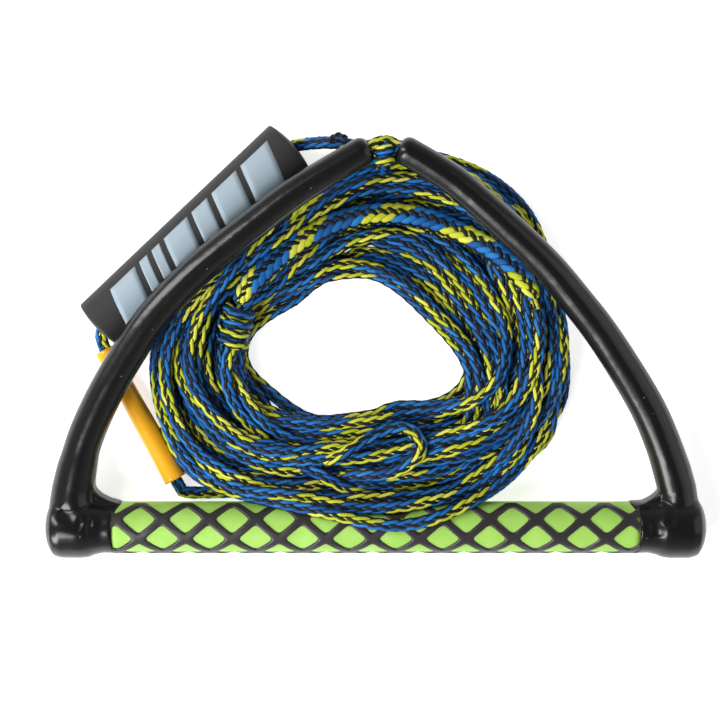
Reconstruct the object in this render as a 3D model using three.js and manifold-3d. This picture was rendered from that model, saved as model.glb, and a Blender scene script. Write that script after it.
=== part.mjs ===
// Tow rope handle, laid flat with its rope coiled through it. Millimetres, +Z up.
//
// A foam-gripped aluminium bar is held by two moulded arms over a rope bridle.
// The tow rope is hitched to the bridle between the arm tips, runs through a
// foam float and a vinyl sleeve, and lies in a coil that passes under the arms
// and over the grip.
//
// Two frames are used below. The "lay" frame has its Y = 0 along the bar and
// its Z = 0 on the surface that everything lies on. The "handle" frame is the
// plane of the bar and arms: it turns about the bar by TILT, so that the arm
// tips rest above the coil.
import * as THREE from 'three';
import { mergeVertices } from 'three/addons/utils/BufferGeometryUtils.js';
import Module from 'manifold-3d';

const wasm = await Module();
wasm.setup();

// ---- Driving dimensions -------------------------------------------------

const GAP = 0.4; // clearance between touching pieces
const TILT = THREE.MathUtils.degToRad(9);

const HANDLE_HALF = 190.4; // bar centre to the outer face of a boot
const GRIP_HALF = 150;
const GRIP_RADIUS = 14.2;
const BAR_HALF = 162;
const BAR_RADIUS = 11;
const BAR_WALL = 1.5;
const BAR_HEIGHT = 17.5; // bar axis above the surface: the boots rest on it

const RIB_INNER = 14.95;
const RIB_OUTER = 15.6;
const RIB_WIDTH = 4.5;
const RIB_PITCH = 106; // advance of one rib in a full turn
const RIBS_PER_HAND = 4;
const RIB_CROSSING_X = -15.1; // where the first crossing lies
const RIB_CROSSING_ANGLE = THREE.MathUtils.degToRad(31.5); // from the top, towards the arms

const BOOT_RADIUS = 17.5;
const BOOT_COLLAR = 14.9;
const BOOT_FACE = 8; // radius of the flat outer face
const BOOT_SOCKET_TOP = 30; // how far up the arm the socket reaches

const ROPE_RADIUS = 3.25;
const ARM_FOOT_RADIUS = 10.75;
const ARM_TIP_RADIUS = 8.2;
const ARM_BORE = ROPE_RADIUS + 0.6;
const ARM_TIP_ROUND = 4;

// Centre lines of the arms in the handle plane, from the boot to the tip.
const ARM_LEFT = [
  [-174, 14.5], [-172.5, 27], [-166, 51], [-154, 77], [-141, 99],
  [-125, 122], [-100, 148], [-71, 171.5], [-43, 192.5], [-3.2, 216.4],
];
const ARM_RIGHT = [
  [174, 14.5], [171.5, 27], [163, 51], [152, 74], [131, 107],
  [115, 128], [91, 155.5], [51, 191.5], [33, 204.4], [12.3, 216.6],
];

const PLUG_LENGTH = 8;
const STOPPER_RADIUS = 7;

const BRIDLE_TOP = [4.5, 218.4]; // where the bridle rope arches between the tips
const HITCH_CENTRE = [4.5, 216.8]; // in the handle plane
const HITCH_RADIUS = 9;
const HITCH_BORE = 5.2;
const HITCH_LENGTH = 9.6;
const HITCH_SPLICE_RADIUS = 4.2;
const TAIL_RADIUS = 1.75;

const FLOAT_RADIUS = 16.4;
const FLOAT_LENGTH = 150;
const FLOAT_BORE = 6.7;
const FLOAT_CENTRE = [-104.2, 167.4, 16.6];
const FLOAT_HEADING = THREE.MathUtils.degToRad(43.5);

const SLEEVE_RADIUS = 5.9;
const SLEEVE_WALL = 0.8;
const SLEEVE_LENGTH = 86;
const SLEEVE_CENTRE = [-137.25, 63.8, 6.3];
const SLEEVE_HEADING = THREE.MathUtils.degToRad(-61.1);
const SLEEVE_TRAVEL = 8; // room kept free past each end

const COIL_CENTRE = [-7.8, 104.5];
const COIL_BASE = 0.1;
const COIL_HEIGHT = 30;
const COIL_LIFT = 12; // extra height where the turns climb over the grip
const COIL_LIFT_FROM = 38;
const COIL_LIFT_TO = 12;
// Radii from the coil's centre every 22.5 degrees, starting at +X.
const COIL_OUTER = [121, 120, 127, 121, 112, 98, 91, 100, 122, 131, 124, 103, 104, 117, 121, 126];
const COIL_INNER = [51.5, 39, 36.5, 37.5, 39.5, 41, 43, 50, 67, 60, 52, 45, 39, 36, 37, 55];
const COIL_STATIONS = 48;

const WRAP_CENTRE = [-80, 115, 17];
const WRAP_HALF_WIDTH = 11.4;
const WRAP_HALF_HEIGHT = 16.5;
const WRAP_THICK = 6.5;
const WRAP_LENGTH = 23;
const WRAP_HEADING = THREE.MathUtils.degToRad(78.5);

const EYE_SPLICE_RADIUS = 5.75;

// Routes of the rope, in the lay frame.
const TOW_LINE = [
  [7, 211, 37.6], [-4, 213.6, 37.4], [-13.4, 216.8, 35.4], [-21.4, 218.6, 31.5],
  [-29.8, 219.6, 26.5], [-38.5, 219.7, 21.3], [-45, 219.3, 18.2], [-50.2, 217, 16.9],
  [-56.5, 212, 16.4], [-71.7, 197.6, 16.4], [-103.8, 167.2, 16.4], [-136, 136.7, 16.4],
  [-151, 122.3, 16.3], [-156.1, 116.4, 15.2], [-158.4, 112.4, 13.4], [-158.8, 107.8, 10.6],
  [-157.8, 103.2, 8], [-155.4, 98.1, 6.7], [-152.6, 92.6, 6.3], [-137.3, 63.8, 6.3],
  [-121, 34.4, 6.3], [-116, 25.4, 6.2], [-111.6, 19.6, 5.6], [-104.5, 16.4, 5],
];
const HITCH_SPLICE = [
  [4.5, 205.9, 42.6], [4.5, 203.6, 38.2], [4.5, 202.3, 32], [4.5, 201.6, 26],
];
const SPLICE_TAIL = [[-27, 222, 33], [-23, 223.5, 36.5], [-19, 223.2, 38.5], [-15.5, 221, 39]];
const EYE_SPLICE = [
  [-77, 128.6, 30], [-74, 133.8, 31], [-64.3, 145.5, 31], [-52.5, 156.3, 31], [-38.3, 166.5, 31],
  [-25.9, 173.2, 31], [-11.8, 177.8, 31], [13.7, 179.5, 31], [36.3, 174.9, 31],
  [53.2, 166.5, 30.5], [68.6, 157.4, 29.5], [81.5, 145, 28], [91, 130.8, 25],
];
const ROPE_BIGHT = [
  [-28.7, 37.6, 32.5], [-21.7, 40.6, 32.5], [-13.5, 45.5, 32], [-1.6, 52.3, 32],
  [9.1, 56.2, 32], [18.2, 56.5, 32], [25, 50.3, 32], [25.3, 42.4, 32.3],
  [16.5, 35.3, 33], [7.5, 31.4, 33.5], [-5, 30.2, 33.8], [-19.7, 29.4, 34],
];

// ---- Materials ----------------------------------------------------------

const paint = (color, roughness, metalness = 0) =>
  new THREE.MeshStandardMaterial({ color, roughness, metalness });

const MATERIALS = {
  aluminium: () => paint(0xb9bcc0, 0.35, 1),
  grip: () => paint(0x86d83a, 0.8),
  lattice: () => paint(0x1b1b1c, 0.55),
  vinyl: () => paint(0x111113, 0.22),
  plug: () => paint(0x2a2a2c, 0.5),
  rope: () => paint(0x1260c0, 0.75),
  foam: () => paint(0x39393b, 0.8),
  amber: () => paint(0xf2a20c, 0.25),
};

// ---- Geometry helpers ---------------------------------------------------

const vector = ([x, y, z = 0]) => new THREE.Vector3(x, y, z);
const routeCurve = (points) => new THREE.CatmullRomCurve3(points.map(vector), false, 'centripetal');

function signedVolume(position, index) {
  const [a, b, c] = [new THREE.Vector3(), new THREE.Vector3(), new THREE.Vector3()];
  let volume = 0;
  for (let i = 0; i < index.length; i += 3) {
    a.fromBufferAttribute(position, index[i]);
    b.fromBufferAttribute(position, index[i + 1]);
    c.fromBufferAttribute(position, index[i + 2]);
    volume += a.dot(b.cross(c)) / 6;
  }
  return volume;
}

// A welded copy of a closed shape, without zero-size faces, facing outwards.
function welded(geometry) {
  const bare = geometry.index ? geometry.toNonIndexed() : geometry.clone();
  bare.deleteAttribute('normal');
  bare.deleteAttribute('uv');
  const merged = mergeVertices(bare, 1e-4);
  const index = [];
  for (let i = 0; i < merged.index.count; i += 3) {
    const [a, b, c] = [0, 1, 2].map((k) => merged.index.getX(i + k));
    if (a !== b && b !== c && c !== a) index.push(a, b, c);
  }
  if (signedVolume(merged.attributes.position, index) < 0) index.reverse();
  merged.setIndex(index);
  return merged;
}

function toSolid(geometry) {
  const closed = welded(geometry);
  return new wasm.Manifold(new wasm.Mesh({
    numProp: 3,
    vertProperties: Float32Array.from(closed.attributes.position.array),
    triVerts: Uint32Array.from(closed.index.array),
  }));
}

function toGeometry(solid) {
  const mesh = solid.getMesh();
  const geometry = new THREE.BufferGeometry();
  geometry.setAttribute('position', new THREE.BufferAttribute(mesh.vertProperties, 3));
  geometry.setIndex(new THREE.BufferAttribute(mesh.triVerts, 1));
  geometry.computeVertexNormals();
  return geometry;
}

// The largest body of a cut solid: crumbs that a cut leaves behind are dropped.
function mainBody(solid) {
  return solid.decompose().reduce((best, body) => (body.volume() > best.volume() ? body : best));
}

const joinAll = (geometries) => geometries.map(toSolid).reduce((sum, solid) => sum.add(solid));
const cutAll = (solid, geometries) =>
  geometries.map(toSolid).reduce((rest, cutter) => rest.subtract(cutter), solid);

function mirrored(geometry) {
  return geometry.clone().scale(-1, 1, 1);
}

// A ring or rod turned about the X axis from a closed profile of [radius, x].
function turnedOnX(profile, segments = 24) {
  const points = profile.map(([radius, x]) => new THREE.Vector2(radius, x));
  const lathe = new THREE.LatheGeometry(points, segments);
  return lathe.rotateZ(-Math.PI / 2);
}

const ringProfile = (outer, inner, start, end) => [
  [inner, start], [outer, start], [outer, end], [inner, end], [inner, start],
];
const rodProfile = (radius, start, end) => [[0, start], [radius, start], [radius, end], [0, end]];

// Bends a lathe, whose axis is Y and starts at 0, along a curve in the handle plane.
function bentAlong(lathe, curve) {
  const length = curve.getLength();
  const position = lathe.attributes.position;
  const up = new THREE.Vector3(0, 0, 1);
  for (let i = 0; i < position.count; i += 1) {
    const along = THREE.MathUtils.clamp(position.getY(i) / length, 0, 1);
    const point = curve.getPointAt(along);
    const side = curve.getTangentAt(along).cross(up);
    point.addScaledVector(side, position.getX(i));
    point.addScaledVector(up, position.getZ(i));
    position.setXYZ(i, point.x, point.y, point.z);
  }
  return lathe;
}

function polygon(radius, sides) {
  const shape = new THREE.Shape();
  for (let i = 0; i < sides; i += 1) {
    const angle = (2 * Math.PI * i) / sides;
    const corner = [radius * Math.cos(angle), radius * Math.sin(angle)];
    if (i === 0) shape.moveTo(...corner);
    else shape.lineTo(...corner);
  }
  shape.closePath();
  return shape;
}

function ropeAlong(curve, radius, steps, sides = 8) {
  return new THREE.ExtrudeGeometry(polygon(radius, sides), {
    steps, extrudePath: curve, bevelEnabled: false,
  });
}

// Places a shape made along +X at a centre in the lay frame, turned to a heading.
function laid(geometry, centre, heading) {
  return geometry.clone().rotateZ(heading).translate(...centre);
}

const handleToLay = new THREE.Matrix4()
  .makeTranslation(0, 0, BAR_HEIGHT)
  .multiply(new THREE.Matrix4().makeRotationX(TILT));
const inLay = (geometry) => geometry.clone().applyMatrix4(handleToLay);

// ---- Bar, grip and plugs ------------------------------------------------

const barTube = () => turnedOnX(ringProfile(BAR_RADIUS, BAR_RADIUS - BAR_WALL, -BAR_HALF, BAR_HALF));

const gripSleeve = () => turnedOnX(
  ringProfile(GRIP_RADIUS, BAR_RADIUS + GAP, -GRIP_HALF, GRIP_HALF), 32);

// Ribs of both hands as one net. Each rib of one hand lies at a whole number on
// the u scale and each rib of the other hand at a whole number on the v scale.
function gripLattice() {
  const slope = Math.atan((2 * Math.PI * RIB_OUTER) / RIB_PITCH);
  const spacing = ((2 * Math.PI * RIB_OUTER) / RIBS_PER_HAND) * Math.cos(slope);
  const halfRib = RIB_WIDTH / 2 / spacing;
  const lineAt = (line) => Math.floor(line / 2) + (line % 2 === 0 ? -halfRib : halfRib);
  const reach = Math.ceil((2 * RIBS_PER_HAND * GRIP_HALF) / RIB_PITCH) + 3;
  const isHole = (u, v) => (u % 2 !== 0 && v % 2 !== 0) || Math.abs(v - u) > 2 * reach;
  const points = [];
  const place = ([u, v], radius) => {
    const x = RIB_CROSSING_X + ((lineAt(v) - lineAt(u)) * RIB_PITCH) / 2 / RIBS_PER_HAND;
    const angle = RIB_CROSSING_ANGLE + ((lineAt(u) + lineAt(v)) * Math.PI) / RIBS_PER_HAND;
    points.push(x, radius * Math.sin(angle), radius * Math.cos(angle));
  };
  for (let u = 0; u < 2 * RIBS_PER_HAND; u += 1) {
    for (let v = u - 2 * reach; v <= u + 2 * reach; v += 1) {
      if (isHole(u, v)) continue;
      const ring = [[u, v], [u + 1, v], [u + 1, v + 1], [u, v + 1]];
      const beside = [[u, v - 1], [u + 1, v], [u, v + 1], [u - 1, v]];
      for (const corner of [0, 1, 3, 1, 2, 3]) place(ring[corner], RIB_OUTER);
      for (const corner of [3, 1, 0, 3, 2, 1]) place(ring[corner], RIB_INNER);
      beside.forEach((cell, edge) => {
        if (!isHole(...cell)) return;
        const [from, to] = [ring[edge], ring[(edge + 1) % 4]];
        place(to, RIB_OUTER);
        place(from, RIB_OUTER);
        place(from, RIB_INNER);
        place(to, RIB_OUTER);
        place(from, RIB_INNER);
        place(to, RIB_INNER);
      });
    }
  }
  const net = new THREE.BufferGeometry();
  net.setAttribute('position', new THREE.Float32BufferAttribute(points, 3));
  const ends = new THREE.BoxGeometry(2 * GRIP_HALF, 40, 40);
  return toGeometry(mainBody(toSolid(net).intersect(toSolid(ends))));
}

function endPlug() {
  const outer = BAR_RADIUS - BAR_WALL - 0.3;
  return turnedOnX(ringProfile(outer, ARM_BORE, BAR_HALF - PLUG_LENGTH, BAR_HALF), 16);
}

const stopperX = BAR_HALF - PLUG_LENGTH - GAP - STOPPER_RADIUS;
const stopperKnot = () => new THREE.SphereGeometry(STOPPER_RADIUS, 12, 8).translate(stopperX, 0, 0);

// ---- Arms and the bridle ------------------------------------------------

const armCurves = { left: routeCurve(ARM_LEFT), right: routeCurve(ARM_RIGHT) };

function armRadius(along) {
  return THREE.MathUtils.lerp(ARM_FOOT_RADIUS, ARM_TIP_RADIUS, along);
}

// Profile of a tapering arm with a rounded tip, as [radius, distance from the boot].
function armProfile(length, bore, extra = 0) {
  const stations = 16;
  const profile = [];
  for (let i = 0; i <= stations; i += 1) {
    const along = (i / stations) * (length - ARM_TIP_ROUND);
    profile.push([armRadius(along / length) + extra, along]);
  }
  const tip = armRadius(1) + extra;
  profile.push([tip - 1.2, length - 1.2]);
  profile.push([tip - ARM_TIP_ROUND, length]);
  if (bore === 0) {
    profile.push([0, length]);
    profile.unshift([0, 0]);
    return profile;
  }
  for (let i = stations; i >= 0; i -= 1) profile.push([bore, (i / stations) * length]);
  profile.push(profile[0]);
  return profile;
}

function arm(curve, bore, extra = 0, sides = 12) {
  const profile = armProfile(curve.getLength(), bore, extra);
  const points = profile.map(([radius, along]) => new THREE.Vector2(radius, along));
  return bentAlong(new THREE.LatheGeometry(points, sides), curve);
}

// From a stopper knot through the plug and up into the foot of an arm.
const bridleEntry = (side) => [
  [side * (BAR_HALF - PLUG_LENGTH - GAP + 0.3), 0], [side * 158, 0], [side * BAR_HALF, 0.1],
  [side * 168.6, 1.8], [side * 172.8, 7],
].map(vector);

const bridleCurve = new THREE.CatmullRomCurve3([
  ...bridleEntry(-1),
  ...armCurves.left.getSpacedPoints(20),
  vector(BRIDLE_TOP),
  ...armCurves.right.getSpacedPoints(20).reverse(),
  ...bridleEntry(1).reverse(),
], false, 'centripetal');

const bridleRope = (extra = 0) => ropeAlong(bridleCurve, ROPE_RADIUS + extra, 64);

// ---- Corner boots -------------------------------------------------------

// The barrel over the end of the bar, as [radius, x], for the right-hand boot.
const bootBarrel = [
  [0, GRIP_HALF + GAP], [BOOT_COLLAR, GRIP_HALF + GAP], [BOOT_COLLAR, 159.5],
  [BOOT_RADIUS - 0.8, 163.5], [BOOT_RADIUS, 168], [BOOT_RADIUS, 178],
  [BOOT_RADIUS - 2.6, 185], [BOOT_FACE + 3, 189.4], [BOOT_FACE, HANDLE_HALF], [0, HANDLE_HALF],
];

// Fills the inner corner between the bar and the arm, in the handle plane.
const bootWeb = [
  [172, 6], [172, 29], [162.5, 27], [159.5, 21.5], [154.5, 17.6], [146.5, 15.6], [146.5, 12], [152, 6],
];

function cornerBoot(curve, side) {
  const length = curve.getLength();
  const socketEnd = BOOT_SOCKET_TOP - ARM_RIGHT[0][1];
  const socket = new THREE.LatheGeometry([
    new THREE.Vector2(0, 0), new THREE.Vector2(14.2, 0), new THREE.Vector2(12.6, socketEnd * 0.5),
    new THREE.Vector2(11.6, socketEnd), new THREE.Vector2(0, socketEnd),
  ], 18);
  const heel = new THREE.SphereGeometry(14.6, 16, 10).translate(174.6, 8, 0);
  const web = new THREE.ExtrudeGeometry(
    new THREE.Shape(bootWeb.map(([x, y]) => new THREE.Vector2(x, y))),
    { depth: 12, bevelThickness: 3, bevelSize: 1.2, bevelSegments: 1, steps: 1 },
  ).translate(0, 0, -6);
  const turn = (geometry) => (side < 0 ? mirrored(geometry) : geometry);
  const body = joinAll([
    turn(turnedOnX(bootBarrel, 24)), bentAlong(socket, curve), turn(heel), turn(web),
  ]);
  const outline = cutAll(body, [
    turn(turnedOnX(rodProfile(BAR_RADIUS + 0.3, GRIP_HALF - 10, BAR_HALF + 0.3))),
    turn(turnedOnX(rodProfile(RIB_OUTER + 0.3, GRIP_HALF - 20, GRIP_HALF + 0.3))),
    arm(curve, 0, 0.3),
    bridleRope(0.5),
  ]);
  return toGeometry(mainBody(outline));
}

// ---- Hitch on the bridle ------------------------------------------------

function bridleHitch() {
  const half = HITCH_LENGTH / 2;
  const shoulder = HITCH_RADIUS - 1.8;
  const profile = [
    [HITCH_BORE, -half], [shoulder, -half], [HITCH_RADIUS, -half + 1.8],
    [HITCH_RADIUS, -1.6], [HITCH_RADIUS - 0.9, 0], [HITCH_RADIUS, 1.6],
    [HITCH_RADIUS, half - 1.8], [shoulder, half], [HITCH_BORE, half], [HITCH_BORE, -half],
  ];
  return turnedOnX(profile, 18).translate(...HITCH_CENTRE, 0);
}

const hitchSplice = (extra = 0) => ropeAlong(routeCurve(HITCH_SPLICE), HITCH_SPLICE_RADIUS + extra, 6, 10);
const spliceTail = () => ropeAlong(routeCurve(SPLICE_TAIL), TAIL_RADIUS, 5);

// ---- Rope, float and sleeve ---------------------------------------------

const towLine = (extra = 0) => ropeAlong(routeCurve(TOW_LINE), ROPE_RADIUS + extra, 52);

function foamFloat(extra = 0, bore = FLOAT_BORE) {
  const half = FLOAT_LENGTH / 2 + extra;
  const profile = bore > 0
    ? ringProfile(FLOAT_RADIUS + extra, bore, -half, half)
    : rodProfile(FLOAT_RADIUS + extra, -half, half);
  return laid(turnedOnX(profile, 28), FLOAT_CENTRE, FLOAT_HEADING);
}

function lineSleeve() {
  const half = SLEEVE_LENGTH / 2;
  const profile = ringProfile(SLEEVE_RADIUS, SLEEVE_RADIUS - SLEEVE_WALL, -half, half);
  return laid(turnedOnX(profile, 18), SLEEVE_CENTRE, SLEEVE_HEADING);
}

function sleevePath() {
  const half = SLEEVE_LENGTH / 2 + SLEEVE_TRAVEL;
  return laid(turnedOnX(rodProfile(SLEEVE_RADIUS + 1, -half, half), 14), SLEEVE_CENTRE, SLEEVE_HEADING);
}

// ---- Coil and what lies on it -------------------------------------------

function coilOutline(radii) {
  const points = radii.map((radius, i) => {
    const angle = (2 * Math.PI * i) / radii.length;
    return vector([
      COIL_CENTRE[0] + radius * Math.cos(angle), COIL_CENTRE[1] + radius * Math.sin(angle),
    ]);
  });
  return new THREE.CatmullRomCurve3(points, true, 'centripetal');
}

function coilTop(y) {
  const climb = THREE.MathUtils.smoothstep(COIL_LIFT_FROM - y, 0, COIL_LIFT_FROM - COIL_LIFT_TO);
  return COIL_HEIGHT + COIL_LIFT * climb;
}

// A turned ring whose section runs from 0 to 1 across the band and in height,
// carried onto the coil's inner and outer outlines.
function coilRing() {
  const section = [
    [0.1, 0], [0.5, 0], [0.9, 0], [1, 0.25], [1, 0.6], [0.93, 0.86], [0.78, 1],
    [0.5, 1], [0.22, 1], [0.07, 0.86], [0, 0.6], [0, 0.25], [0.1, 0],
  ];
  const points = section.map(([across, height]) => new THREE.Vector2(1 + across, height));
  const ring = new THREE.LatheGeometry(points, COIL_STATIONS);
  const inner = coilOutline(COIL_INNER);
  const outer = coilOutline(COIL_OUTER);
  const position = ring.attributes.position;
  for (let i = 0; i < position.count; i += 1) {
    const [x, z] = [position.getX(i), position.getZ(i)];
    const station = Math.round((Math.atan2(x, z) / (2 * Math.PI)) * COIL_STATIONS);
    const around = ((station + COIL_STATIONS) % COIL_STATIONS) / COIL_STATIONS;
    const place = inner.getPoint(around).lerp(outer.getPoint(around), Math.hypot(x, z) - 1);
    const height = COIL_BASE + position.getY(i) * (coilTop(place.y) - COIL_BASE);
    position.setXYZ(i, place.x, place.y, height);
  }
  return ring;
}

// The grip's clearance through the coil: a round arch, open down to the surface.
function gripArch() {
  const radius = RIB_OUTER + 0.9;
  const shape = new THREE.Shape();
  shape.moveTo(-radius, -BAR_HEIGHT - 1);
  shape.lineTo(-radius, 0);
  shape.absarc(0, 0, radius, Math.PI, 0, true);
  shape.lineTo(radius, -BAR_HEIGHT - 1);
  shape.closePath();
  const arch = new THREE.ExtrudeGeometry(shape, {
    depth: 2 * GRIP_HALF, bevelEnabled: false, curveSegments: 16,
  });
  return arch.translate(0, 0, -GRIP_HALF).rotateX(Math.PI / 2).rotateZ(Math.PI / 2)
    .translate(0, 0, BAR_HEIGHT);
}

const ovalShape = (halfWidth, halfHeight) => {
  const shape = new THREE.Shape();
  shape.absellipse(0, 0, halfWidth, halfHeight, 0, 2 * Math.PI);
  return shape;
};

// Turns of rope bound round the inner ropes of the coil.
function coilWraps(extra = 0) {
  const shape = ovalShape(WRAP_HALF_WIDTH + extra, WRAP_HALF_HEIGHT + extra);
  const bore = WRAP_THICK + extra;
  shape.holes.push(ovalShape(WRAP_HALF_WIDTH - bore, WRAP_HALF_HEIGHT - bore));
  const length = WRAP_LENGTH + 2 * extra;
  const ring = new THREE.ExtrudeGeometry(shape, {
    depth: length, bevelEnabled: false, curveSegments: 9,
  });
  return ring.translate(0, 0, -length / 2).rotateX(Math.PI / 2)
    .rotateZ(WRAP_HEADING - Math.PI / 2).translate(...WRAP_CENTRE);
}

const eyeSplice = (extra = 0) => ropeAlong(routeCurve(EYE_SPLICE), EYE_SPLICE_RADIUS + extra, 22, 10);
const ropeBight = (extra = 0) => ropeAlong(routeCurve(ROPE_BIGHT), ROPE_RADIUS + extra, 22);

function ropeCoil() {
  const cut = cutAll(toSolid(coilRing()), [
    gripArch(),
    inLay(arm(armCurves.left, 0, 1, 10)),
    inLay(arm(armCurves.right, 0, 1, 10)),
    foamFloat(1, 0),
    sleevePath(),
    towLine(GAP),
    hitchSplice(GAP),
    eyeSplice(GAP),
    ropeBight(GAP),
    coilWraps(GAP),
  ]);
  return toGeometry(mainBody(cut));
}

// ---- Assembly -----------------------------------------------------------

function named(name, geometry, material) {
  const mesh = new THREE.Mesh(geometry, MATERIALS[material]());
  mesh.name = name;
  return mesh;
}

const handle = new THREE.Group();
handle.position.z = BAR_HEIGHT;
handle.rotation.x = TILT;
handle.add(
  named('bar_tube', welded(barTube()), 'aluminium'),
  named('grip_sleeve', welded(gripSleeve()), 'grip'),
  named('grip_lattice', gripLattice(), 'lattice'),
  named('bridle_rope', welded(bridleRope()), 'rope'),
  named('bridle_hitch', welded(bridleHitch()), 'rope'),
);
for (const [label, side] of [['left', -1], ['right', 1]]) {
  const curve = armCurves[label];
  const turn = (geometry) => (side < 0 ? mirrored(geometry) : geometry);
  handle.add(
    named(`end_plug_${label}`, welded(turn(endPlug())), 'plug'),
    named(`stopper_knot_${label}`, welded(turn(stopperKnot())), 'rope'),
    named(`corner_boot_${label}`, cornerBoot(curve, side), 'vinyl'),
    named(`arm_sleeve_${label}`, welded(arm(curve, ARM_BORE)), 'vinyl'),
  );
}

const lay = new THREE.Group();
lay.add(
  handle,
  named('hitch_splice', welded(hitchSplice()), 'rope'),
  named('splice_tail', welded(spliceTail()), 'rope'),
  named('tow_line', welded(towLine()), 'rope'),
  named('foam_float', welded(foamFloat()), 'foam'),
  named('line_sleeve', welded(lineSleeve()), 'amber'),
  named('rope_coil', ropeCoil(), 'rope'),
  named('coil_wraps', welded(coilWraps()), 'rope'),
  named('eye_splice', welded(eyeSplice()), 'rope'),
  named('rope_bight', welded(ropeBight()), 'rope'),
);

// The origin is under the middle of the handle, on the surface it lies on.
lay.updateMatrixWorld(true);
const handleBox = new THREE.Box3().setFromObject(handle, true);
const handleMiddle = handleBox.getCenter(new THREE.Vector3());
lay.position.set(-handleMiddle.x, -handleMiddle.y, -handleBox.min.z);

const group = new THREE.Group();
group.add(lay);

export default group;
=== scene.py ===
"""A tow rope handle laid flat, with its rope coiled through it. Metres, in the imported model's frame.

The "lay" places below are measured from the bar: Y = 0 along the bar's axis and Z = 0 on the
surface. to_frame() moves them into the model's frame.
"""
import math

import bpy
import numpy as np
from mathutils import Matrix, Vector


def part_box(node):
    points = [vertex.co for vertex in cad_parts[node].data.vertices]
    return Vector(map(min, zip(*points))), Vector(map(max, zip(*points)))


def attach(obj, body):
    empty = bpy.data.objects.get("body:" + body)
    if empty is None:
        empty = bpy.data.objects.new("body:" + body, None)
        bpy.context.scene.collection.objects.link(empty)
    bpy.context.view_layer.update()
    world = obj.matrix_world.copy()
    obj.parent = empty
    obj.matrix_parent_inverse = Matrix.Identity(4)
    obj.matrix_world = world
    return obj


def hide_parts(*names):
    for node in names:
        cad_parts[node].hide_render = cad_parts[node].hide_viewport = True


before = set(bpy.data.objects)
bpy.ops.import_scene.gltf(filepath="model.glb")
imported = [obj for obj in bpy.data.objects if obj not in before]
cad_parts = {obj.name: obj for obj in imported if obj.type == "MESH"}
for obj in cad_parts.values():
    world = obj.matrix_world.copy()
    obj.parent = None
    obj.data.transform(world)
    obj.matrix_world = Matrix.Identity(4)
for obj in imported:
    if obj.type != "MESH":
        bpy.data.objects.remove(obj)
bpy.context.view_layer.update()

# ---- Driving dimensions ----

TILT = math.radians(9)  # the arms rise from the bar over the coil
BAR_HEIGHT = 0.0175
GRIP_HALF = 0.150
GRIP_RADIUS = 0.0144
GRIP_INNER_RADIUS = 0.0114
RIB_RADIUS = 0.0154
RIB_HALF_WIDTH = 0.134  # as a part of the distance between neighbouring ribs
RIB_PITCH = 0.106
RIBS_PER_HAND = 4
RIB_CROSSING_X = -0.0151
RIB_CROSSING_ANGLE = math.radians(31.5)

ARM_FOOT_RADIUS = 0.01075
ARM_TIP_RADIUS = 0.0081
ARM_LEFT = [
    (-0.174, 0.0145), (-0.1725, 0.027), (-0.166, 0.051), (-0.154, 0.077), (-0.141, 0.099),
    (-0.125, 0.122), (-0.100, 0.148), (-0.071, 0.1715), (-0.043, 0.1925), (-0.0032, 0.2164),
]
ARM_RIGHT = [
    (0.174, 0.0145), (0.1715, 0.027), (0.163, 0.051), (0.152, 0.074), (0.131, 0.107),
    (0.115, 0.128), (0.091, 0.1555), (0.051, 0.1915), (0.033, 0.2044), (0.0123, 0.2166),
]

ROPE_WIDTH = 0.0072  # the soft braid lies flattened
ROPE_HEIGHT = 0.0058
ROPE_PITCH = 0.067
STRANDS_PER_HAND = 8
YELLOW_STRANDS = 3
STRAND_STEP = 0.0027

FLOAT_RADIUS = 0.0164
FLOAT_LENGTH = 0.150
FLOAT_BORE = 0.0067
FLOAT_CENTRE = (-0.1042, 0.1674, 0.0166)
FLOAT_HEADING = math.radians(43.5)

SLEEVE_RADIUS = 0.0059
SLEEVE_LENGTH = 0.086
SLEEVE_CENTRE = (-0.13725, 0.0638, 0.0063)
SLEEVE_HEADING = math.radians(-61.1)

# The tow line from the hitch through the float and the sleeve to the coil.
TOW_LINE = [
    (0.007, 0.211, 0.0376), (-0.004, 0.2136, 0.0374), (-0.0134, 0.2168, 0.0354),
    (-0.0214, 0.2186, 0.0315), (-0.0298, 0.2196, 0.0265), (-0.0385, 0.2197, 0.0213),
    (-0.045, 0.2193, 0.0182), (-0.0502, 0.217, 0.0169), (-0.0565, 0.212, 0.0164),
    (-0.0717, 0.1976, 0.0164), (-0.1038, 0.1672, 0.0164), (-0.136, 0.1367, 0.0164),
    (-0.151, 0.1223, 0.0163), (-0.1561, 0.1164, 0.0152), (-0.1584, 0.1124, 0.0134),
    (-0.1588, 0.1078, 0.0106), (-0.1578, 0.1032, 0.008), (-0.1554, 0.0981, 0.0067),
    (-0.1526, 0.0926, 0.0063), (-0.1373, 0.0638, 0.0063), (-0.121, 0.0344, 0.0063),
    (-0.116, 0.0254, 0.0062), (-0.1116, 0.0196, 0.0056), (-0.1045, 0.0164, 0.005),
]

COIL_CENTRE = (-0.0078, 0.1045)
# Radii from the coil's centre every 22.5 degrees, starting at +X.
COIL_OUTER = [
    0.121, 0.120, 0.127, 0.121, 0.118, 0.101, 0.091, 0.100,
    0.122, 0.127, 0.124, 0.103, 0.106, 0.117, 0.121, 0.126,
]
COIL_INNER = [
    0.0515, 0.039, 0.0365, 0.0375, 0.0395, 0.041, 0.043, 0.050,
    0.067, 0.060, 0.052, 0.045, 0.039, 0.036, 0.037, 0.055,
]
COIL_TURNS = 33
COIL_STATIONS = 96  # points in a turn
COIL_START = math.radians(228)

WRAP_ANGLE = math.radians(171)  # where turns of rope bind the coil's inner ropes
WRAP_RADIUS = 0.073

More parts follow.
